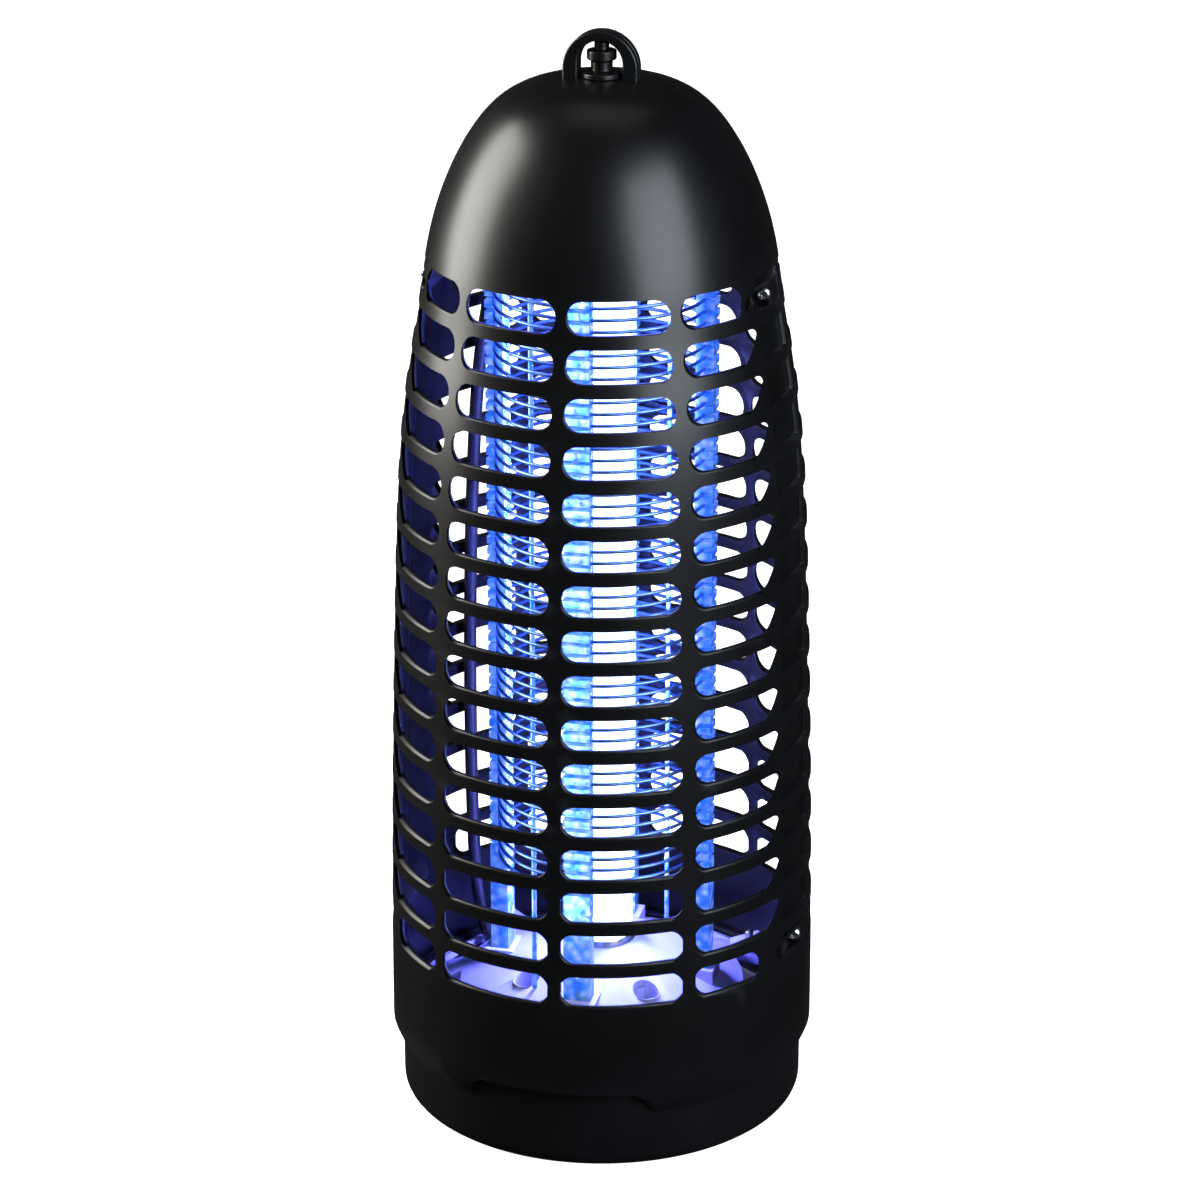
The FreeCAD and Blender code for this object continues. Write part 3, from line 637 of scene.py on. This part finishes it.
def build_half():
    """Vertices and faces of the front half."""
    shell = Shell()
    angles = [-90.0, -STRIP_ANGLE, -BAR_ANGLE, 0.0, BAR_ANGLE, STRIP_ANGLE, 90.0]
    columns = []
    for low, high in zip(angles, angles[1:]):
        steps = Shell.ALONG_STRIP if min(abs(low), abs(high)) >= STRIP_ANGLE - 0.1 else Shell.ALONG
        columns.append([float(t) for t in np.linspace(low, high, steps + 1)])
    for row in range(ROWS):
        centre = TOP_ROW_Z - row * ROW_PITCH
        heights = [float(z) for z in np.linspace(centre - ROW_PITCH / 2, centre + ROW_PITCH / 2,
                                                 Shell.UP + 1)]
        shell.seam(heights)
        low, high = centre - WINDOW_H / 2, centre + WINDOW_H / 2
        end = OUTER_ENDS.get(row, OUTER_END)
        bar = BAR_HALF_ANGLE
        inner = (bar, BAR_ANGLE - bar)
        outer = (BAR_ANGLE + bar, end)
        for index, thetas in enumerate(columns):
            if index in (0, 5):
                span_angles = (-POCKET[1], -POCKET[0]) if index == 0 else POCKET
                shell.pocket_cell(thetas, heights, *span_angles, low, high)
            else:
                pair = inner if index in (2, 3) else outer
                diagonal = index in (1, 4) and row not in OUTER_ENDS
                corner = ROUND_CORNER if row < LOW_ROWS else CUT_CORNER
                outline = window_outline(*pair, low, high, corner, diagonal, index in (1, 2))
                shell.window_cell(thetas, heights, outline)
    around = columns[0] + [t for c in columns[1:] for t in c[1:]]
    top = TOP_ROW_Z + ROW_PITCH / 2
    start = float(np.interp(top, TRACE[:, 1], TRACE_LENGTH))
    dome = [float(np.interp(s, TRACE_LENGTH, TRACE[:, 1]))
            for s in np.linspace(start, TRACE_LENGTH[-1], DOME_STEPS)]
    dome[0], dome[-1] = top, APEX_Z
    shell.seam(dome)
    for depth in (0.0, WALL):
        shell.grid(around, dome, depth)
    base_top = TOP_ROW_Z - (ROWS - 1) * ROW_PITCH - ROW_PITCH / 2
    base = [base_top] + BASE_HEIGHTS
    shell.seam(base)
    lines = []
    ends = []
    for inside in (False, True):
        depth = WALL if inside else 0.0
        shell.grid(around, base, depth)
        line = [shell.vert(t, base[-1], depth) for t in around]
        trail = [(line[0], line[-1])]
        for level in (0, 1):
            following = []
            for t in around:
                rim = rim_height(t)
                rise = (rim - RIM_Z) / NOTCH_RISE
                z = max(CHAMFER_TOP, rim + NOTCH_CHAMFER_H) if level == 0 else rim
                if inside:
                    r = BASE_R - WALL
                else:
                    r = BASE_R if level == 0 else RIM_R + (BASE_R - NOTCH_CHAMFER - RIM_R) * rise
                following.append(shell.rim_vert(t, z, r))
            shell.band(line, following)
            line = following
            trail.append((line[0], line[-1]))
        lines.append(line)
        ends.append(trail)
    shell.band(lines[0], lines[1])
    for side in (0, 1):
        shell.band([pair[side] for pair in ends[0]], [pair[side] for pair in ends[1]])
    return shell


SHELL_SOURCE = build_half()


def boolean_cut(piece, cutters):
    for cutter in cutters:
        modifier = piece.modifiers.new("cut", "BOOLEAN")
        modifier.object = cutter
        modifier.operation = "DIFFERENCE"
        modifier.solver = "EXACT"
    settle(piece)
    for cutter in cutters:
        bpy.data.objects.remove(cutter)


def rod_mesh(name, start, end, radius, steps=48):
    """Plain closed cylinder: a cutter, a boss blank or a bus rod."""
    start, end = Vector(start) * MM, Vector(end) * MM
    axis = end - start
    build = bmesh.new()
    bmesh.ops.create_cone(build, cap_ends=True, segments=steps, radius1=radius * MM,
                          radius2=radius * MM, depth=axis.length)
    turn = axis.to_track_quat("Z", "Y").to_matrix().to_4x4()
    build.transform(Matrix.Translation((start + end) / 2) @ turn)
    mesh = bpy.data.meshes.new(name)
    build.to_mesh(mesh)
    build.free()
    piece = bpy.data.objects.new(name, mesh)
    bpy.context.scene.collection.objects.link(piece)
    return piece


def screw_places():
    return [(side * (radius_at(z) - SCREW_INSET), z) for z in SCREW_ROWS_Z for side in (-1, 1)]


def half_piece(name, node, front):
    verts = [v.copy() for v in SHELL_SOURCE.verts]
    if not front:
        verts = [Vector((v.x, -v.y, v.z)) for v in verts]
    mesh = bpy.data.meshes.new(name)
    mesh.from_pydata([v * MM for v in verts], [], SHELL_SOURCE.faces)
    build = bmesh.new()
    build.from_mesh(mesh)
    bmesh.ops.remove_doubles(build, verts=build.verts, dist=1e-6)
    bmesh.ops.recalc_face_normals(build, faces=build.faces)
    build.to_mesh(mesh)
    build.free()
    shade_smooth(mesh)
    piece = bpy.data.objects.new(name, mesh)
    bpy.context.scene.collection.objects.link(piece)
    if front:
        cutters = [rod_mesh("recess", (x, -70, z), (x, -SEAT_Y, z), RECESS_R)
                   for x, z in screw_places()]
    else:
        cutters = [rod_mesh("inlet", (0, 20, INLET_Z), (0, 60, INLET_Z), INLET_R + GROMMET_WALL)]
    boolean_cut(piece, cutters)
    settle(bevelled(piece, SKIN_EDGE, 3, 38.0))
    smooth_skin(piece.data)
    dress(piece, "black_plastic", HOUSING, (node,))


def smooth_skin(mesh):
    """Gives the outer face's vertices the exact normals of the turned surface."""
    normals = []
    for vertex in mesh.vertices:
        x, y, z = vertex.co / MM
        r = math.hypot(x, y)
        on_skin = CHAMFER_TOP + 0.5 < z < APEX_Z - 3 and abs(r - radius_at(z)) < 0.05
        slope = slope_at(z)
        normals.append(Vector((x / r, y / r, -slope)).normalized() if on_skin else Vector((0, 0, 0)))
    mesh.normals_split_custom_set_from_vertices(normals)


def arch_piece(name, y_low, y_high):
    """Half of the hanging loop: an arch outline given a depth and rounded edges."""
    foot = APEX_Z - 2.5
    steps = 40
    spring = LOOP_TOP - LOOP_R
    inner_r = LOOP_R - LOOP_BAND
    inner_spring = LOOP_TOP - LOOP_CROWN - inner_r

    def edge(radius, centre_z):
        curve = [(-radius * math.cos(math.pi * i / steps),
                  centre_z + radius * math.sin(math.pi * i / steps)) for i in range(steps + 1)]
        return [(-radius, foot)] + curve + [(radius, foot)]

    outer = edge(LOOP_R, spring)
    inner = edge(inner_r, inner_spring)
    verts = []
    for y in (y_low, y_high):
        verts += [Vector((x, y, z)) for x, z in outer] + [Vector((x, y, z)) for x, z in inner]
    n = len(outer)
    faces = []
    for i in range(n - 1):
        faces.append((i, i + 1, n + i + 1, n + i))
        faces.append((2 * n + i + 1, 2 * n + i, 3 * n + i, 3 * n + i + 1))
        faces.append((i + 1, i, 2 * n + i, 2 * n + i + 1))
        faces.append((n + i, n + i + 1, 3 * n + i + 1, 3 * n + i))
    faces.append((0, n, 3 * n, 2 * n))
    faces.append((n - 1, 3 * n - 1, 4 * n - 1, 2 * n - 1))
    piece = mesh_piece(name, verts, faces, "black_plastic", HOUSING)
    settle(bevelled(piece, 0.5, 4, 40.0))


def boss_pieces():
    """Screw bosses behind the recesses, trimmed to stay just under the outer face."""
    skin = [(r - BOSS_INSET, z) for r, z in TRACE[::12] if z > MOULD_LOW_Z]
    skin = [(0, MOULD_LOW_Z)] + skin + [(0, APEX_Z)]
    for index, (x, z) in enumerate(screw_places()):
        for half, start, stop in (("front", -COLLAR_Y, -0.08), ("rear", 0.08, SEAT_Y)):
            name = "screw_boss_%s_%d" % (half, index + 1)
            boss = rod_mesh(name, (x, start, z), (x, stop, z), BOSS_R)
            mould = turned("mould", skin, "black_plastic", HOUSING)
            modifier = boss.modifiers.new("trim", "BOOLEAN")
            modifier.object = mould
            modifier.operation = "INTERSECT"
            modifier.solver = "EXACT"
            settle(boss)
            bpy.data.objects.remove(mould)
            if half == "front":
                boolean_cut(boss, [rod_mesh("recess", (x, -70, z), (x, -SEAT_Y, z), RECESS_R)])
            shade_smooth(boss.data)
            settle(bevelled(boss, 0.15, 2))
            dress(boss, "black_plastic", HOUSING)


def housing():
    half_piece("front_shell_skin", "front_shell", True)
    half_piece("rear_shell_skin", "rear_shell", False)
    arch_piece("hanging_loop_front", -LOOP_DEPTH, -0.06)
    arch_piece("hanging_loop_rear", 0.06, LOOP_DEPTH)
    boss_pieces()
    stud_top = LOOP_TOP - LOOP_CROWN - 0.4
    turned("hanging_stud_turned", [
        (0, APEX_Z - 4.9), (3.6, APEX_Z - 4.9), (3.6, APEX_Z - 2.7), (1.8, APEX_Z - 2.7),
        (1.8, APEX_Z + 0.05), (4.8, APEX_Z + 0.05), (4.8, APEX_Z + 1.3), (2.65, APEX_Z + 1.9),
        (2.65, APEX_Z + 4.2), (3.6, APEX_Z + 4.5), (3.6, APEX_Z + 6.7), (1.8, APEX_Z + 7.0),
        (1.8, stud_top), (0, stud_top),
    ], "black_plastic", HOUSING, ("hanging_stud",), 64, 0.3)


def tray():
    rounding = [(TRAY_R - TRAY_EDGE + TRAY_EDGE * math.sin(math.radians(a)),
                 TRAY_EDGE - TRAY_EDGE * math.cos(math.radians(a))) for a in range(15, 91, 15)]
    turned("collection_tray_skin", [
        (0, TRAY_UNDERCUT), (TRAY_R - 12, TRAY_UNDERCUT), (TRAY_R - 11, 0), (TRAY_R - TRAY_EDGE, 0)]
        + rounding + [
        (TRAY_R, TRAY_TOP), (TRAY_R - TRAY_WALL, TRAY_TOP), (TRAY_R - TRAY_WALL, TRAY_FLOOR),
        (0, TRAY_FLOOR)],
        "black_plastic", TRAY, ("collection_tray",), 192, 0.3)
    outer = TRAY_R - TRAY_WALL
    inner = outer - LINER_WALL
    base = TRAY_FLOOR + LINER_WALL
    turned("tray_liner_dish", [
        (0, TRAY_FLOOR), (outer, TRAY_FLOOR), (outer, LINER_TOP), (inner, LINER_TOP),
        (inner, base + 1.2), (inner - 0.4, base + 0.5), (inner - 1.2, base + 0.1),
        (inner - 2.2, base), (0, base)],
        "white_plastic", TRAY, ("tray_liner",), 192, 0.25)


def lamp():
    low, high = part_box("lamp_tube")
    bottom, top = low.z / MM, high.z / MM
    turned("lamp_glass", [
        (0, bottom), (LAMP_R - 0.9, bottom), (LAMP_R - 0.3, bottom + 0.5),
        (LAMP_R - 0.1, bottom + 1.4), (LAMP_R - 0.1, top - 1.4), (LAMP_R - 0.3, top - 0.5),
        (LAMP_R - 0.9, top), (0, top)],
        "lit_lamp", HOUSING, ("lamp_tube",), 64)


def wire_along(points, radius):
    """Vertices and faces of a round wire with flat ends along points, in millimetres."""
    verts = []
    faces = []
    sides = WIRE_SIDES
    last = len(points) - 1
    for i, p in enumerate(points):
        along = (points[min(i + 1, last)] - points[max(i - 1, 0)]).normalized()
        side = along.cross(Vector((0, 0, 1))).normalized()
        up = side.cross(along)
        for k in range(sides):
            a = 2 * math.pi * k / sides
            verts.append(p + side * radius * math.cos(a) + up * radius * math.sin(a))
    for i in range(last):
        a, b = i * sides, (i + 1) * sides
        for k in range(sides):
            faces.append((a + k, a + (k + 1) % sides, b + (k + 1) % sides, b + k))
    faces.append(tuple(range(sides))[::-1])
    faces.append(tuple(last * sides + k for k in range(sides)))
    return verts, faces


def grid_set(name, node, first, bus_angle):
    """Every second ring from the first, as open wires, and the bus rod opposite their gaps."""
    gap = math.degrees(RING_GAP / GRID_R)
    verts = []
    faces = []
    for ring in range(first, GRID_RINGS, 2):
        z = GRID_LOW_Z + WIRE_PITCH * ring
        points = [polar(GRID_R, bus_angle + 180 + gap + (360 - 2 * gap) * i / RING_STEPS, z)
                  for i in range(RING_STEPS + 1)]
        v, f = wire_along(points, WIRE_R)
        faces += [tuple(k + len(verts) for k in face) for face in f]
        verts += v
    mesh_piece(name, verts, faces, "grid_wire", HOUSING, (node,))
    low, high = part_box(node)
    place = polar(GRID_R, bus_angle)
    rod = rod_mesh(name + "_bus", (place.x, place.y, low.z / MM), (place.x, place.y, high.z / MM),
                   BUS_R, 24)
    shade_smooth(rod.data)
    settle(bevelled(rod, 0.15, 2))
    dress(rod, "grid_wire", HOUSING)


def lower_lead():
    route = [(13.0, 21.8), (24.0, 21.8), (35.0, 17.8), (42.0, 24.0), (47.0, 40.0), (48.2, 70.0),
             (48.0, 115.0), (46.4, 155.0), (43.6, 187.0), (38.8, 208.0), (34.6, 221.0),
             (33.6, 236.8)]
    curve = bpy.data.curves.new("lamp_lead", "CURVE")
    curve.dimensions = "3D"
    spline = curve.splines.new("NURBS")
    spline.points.add(len(route) - 1)
    for point, (r, z) in zip(spline.points, route):
        point.co = (*(polar(r, LEAD_ANGLE, z) * MM), 1.0)
    spline.order_u = 3
    spline.use_endpoint_u = True
    spline.resolution_u = 12
    curve.bevel_depth = LEAD_R * MM
    curve.bevel_resolution = 6
    curve.use_fill_caps = True
    source = bpy.data.objects.new("lamp_lead_curve", curve)
    bpy.context.scene.collection.objects.link(source)
    mesh = bpy.data.meshes.new_from_object(source)
    bpy.data.objects.remove(source)
    shade_smooth(mesh)
    piece = bpy.data.objects.new("lamp_lead_sheath", mesh)
    bpy.context.scene.collection.objects.link(piece)
    dress(piece, "black_cable", HOUSING, ("lower_lamp_lead",))


# Edge rounding, in millimetres, of the nodes that keep their CAD shape.
REFINED = {
    "grid_post_front": 0.12, "grid_post_right": 0.12, "grid_post_rear": 0.12,
    "grid_post_left": 0.12,
    "lower_deck": 0.35, "lower_lampholder": 0.3, "upper_lampholder": 0.4, "upper_deck": 0.3,
    "cord_inlet_grommet": 0.4, "shell_screws": 0.08, "deck_screws": 0.08,
    "lampholder_screws": 0.08, "upper_holder_screws": 0.08, "post_screws": 0.08,
    "board_screws": 0.08, "circuit_board": 0.15, "board_standoffs": 0.15,
    "film_capacitors": 0.9, "ballast_choke": 0.35, "smoothing_capacitor": 0.5, "diodes": 0.2,
    "bleed_resistors": 0.5, "fuse": 0.3, "terminal_block": 0.3, "lamp_cap_lower": 0.3,
    "lamp_cap_upper": 0.3, "lamp_pins": 0.3, "grid_spacer_rods": 0.1,
}


# ------------------------------------------------------------------ stage, light, camera
CAMERA_DISTANCE = 0.905
CAMERA_HEIGHT = 0.477
CAMERA_AZIMUTH = math.radians(12.8)
AIM_Z = 0.1337
LENS = 115.0
SWEEP_R = 3.0
SWEEP_CURVE = 2.0
SWEEP_TOP = 9.0
GLOW_GAP = 0.35
GLOW_Z = 142.0


def area_light(name, place, target, size, colour, power):
    data = bpy.data.lights.new(name, "AREA")
    data.shape = "RECTANGLE"
    data.size, data.size_y = size
    data.color = colour
    data.energy = power
    lamp_object = bpy.data.objects.new(name, data)
    lamp_object.location = place
    aim = Vector(target) - Vector(place)
    lamp_object.rotation_euler = aim.to_track_quat("-Z", "Y").to_euler()
    bpy.context.scene.collection.objects.link(lamp_object)
    return lamp_object


def glow_lights():
    """The lamp's light, as four narrow strips just outside the glass, facing outwards."""
    for index in range(4):
        angle = 45 + 90 * index
        place = polar(LAMP_R + GLOW_GAP, angle, GLOW_Z) * MM
        strip = area_light("lamp_glow_%d" % index, place, place + polar(10, angle) * MM,
                           (0.010, 0.190), (0.17, 0.18, 1.0), 1.3)
        out = polar(1, angle)
        strip.matrix_world = Matrix.Translation(place) @ Matrix((
            (out.y, 0, -out.x, 0), (-out.x, 0, -out.y, 0), (0, 1, 0, 0), (0, 0, 0, 1)))
        strip.visible_camera = False
        strip.visible_glossy = False


def stage():
    sweep = [(0.0, 0.0), (SWEEP_R, 0.0)]
    for degrees in range(10, 91, 10):
        turn = math.radians(degrees)
        sweep.append((SWEEP_R + SWEEP_CURVE * math.sin(turn), SWEEP_CURVE * (1 - math.cos(turn))))
    sweep.append((SWEEP_R + SWEEP_CURVE, SWEEP_TOP))
    build = bmesh.new()
    trace = [build.verts.new((r, 0, z)) for r, z in sweep]
    edges = [build.edges.new(pair) for pair in zip(trace, trace[1:])]
    bmesh.ops.spin(build, geom=trace + edges, cent=(0, 0, 0), axis=(0, 0, 1), angle=2 * math.pi,
                   steps=48, use_merge=True)
    mesh = bpy.data.meshes.new("floor")
    build.to_mesh(mesh)
    build.free()
    shade_smooth(mesh)
    floor = bpy.data.objects.new("floor", mesh)
    bpy.context.scene.collection.objects.link(floor)
    mat, tree, shader = new_material("pale_floor")
    shader.inputs["Base Color"].default_value = (0.92, 0.92, 0.92, 1)
    shader.inputs["Roughness"].default_value = 0.9
    shader.inputs["Specular IOR Level"].default_value = 0.1
    shader.inputs["Emission Color"].default_value = (1, 1, 1, 1)
    shader.inputs["Emission Strength"].default_value = 0.97
    floor.data.materials.append(mat)
    floor.visible_glossy = False
    floor.visible_diffuse = False
    world = bpy.data.worlds.new("studio")
    bpy.context.scene.world = world
    world.use_nodes = True
    background = world.node_tree.nodes["Background"]
    background.inputs["Color"].default_value = (0.9, 0.94, 1.0, 1)
    background.inputs["Strength"].default_value = 0.022
    area_light("softbox_left", (-0.95, -0.02, 0.50), (0, 0, 0.15), (0.60, 0.95),
               (1.0, 0.98, 0.92), 25.0)
    area_light("softbox_right", (0.72, -0.50, 0.52), (0, 0, 0.15), (0.66, 0.85),
               (0.82, 0.91, 1.0), 17.0)
    area_light("top_panel", (0.0, 0.2, 1.3), (0, 0, 0.1), (0.7, 0.7), (1.0, 1.0, 1.0), 0.8)


def camera():
    data = bpy.data.cameras.new("view")
    data.lens = LENS
    data.sensor_width = 36.0
    data.clip_start = 0.01
    view = bpy.data.objects.new("view", data)
    place = Vector((CAMERA_DISTANCE * math.sin(CAMERA_AZIMUTH),
                    -CAMERA_DISTANCE * math.cos(CAMERA_AZIMUTH), CAMERA_HEIGHT))
    view.location = place
    view.rotation_euler = (Vector((0, 0, AIM_Z)) - place).to_track_quat("-Z", "Y").to_euler()
    data.shift_x = -0.0015
    bpy.context.scene.collection.objects.link(view)
    bpy.context.scene.camera = view


camera()
stage()
glow_lights()
housing()
tray()
lamp()
grid_set("grid_rings_live_wire", "grid_rings_live", 0, 90)
grid_set("grid_rings_neutral_wire", "grid_rings_neutral", 1, -90)
lower_lead()
for node_name, edge_width in REFINED.items():
    refined(node_name, edge_width)
bpy.context.scene.view_settings.view_transform = "Standard"
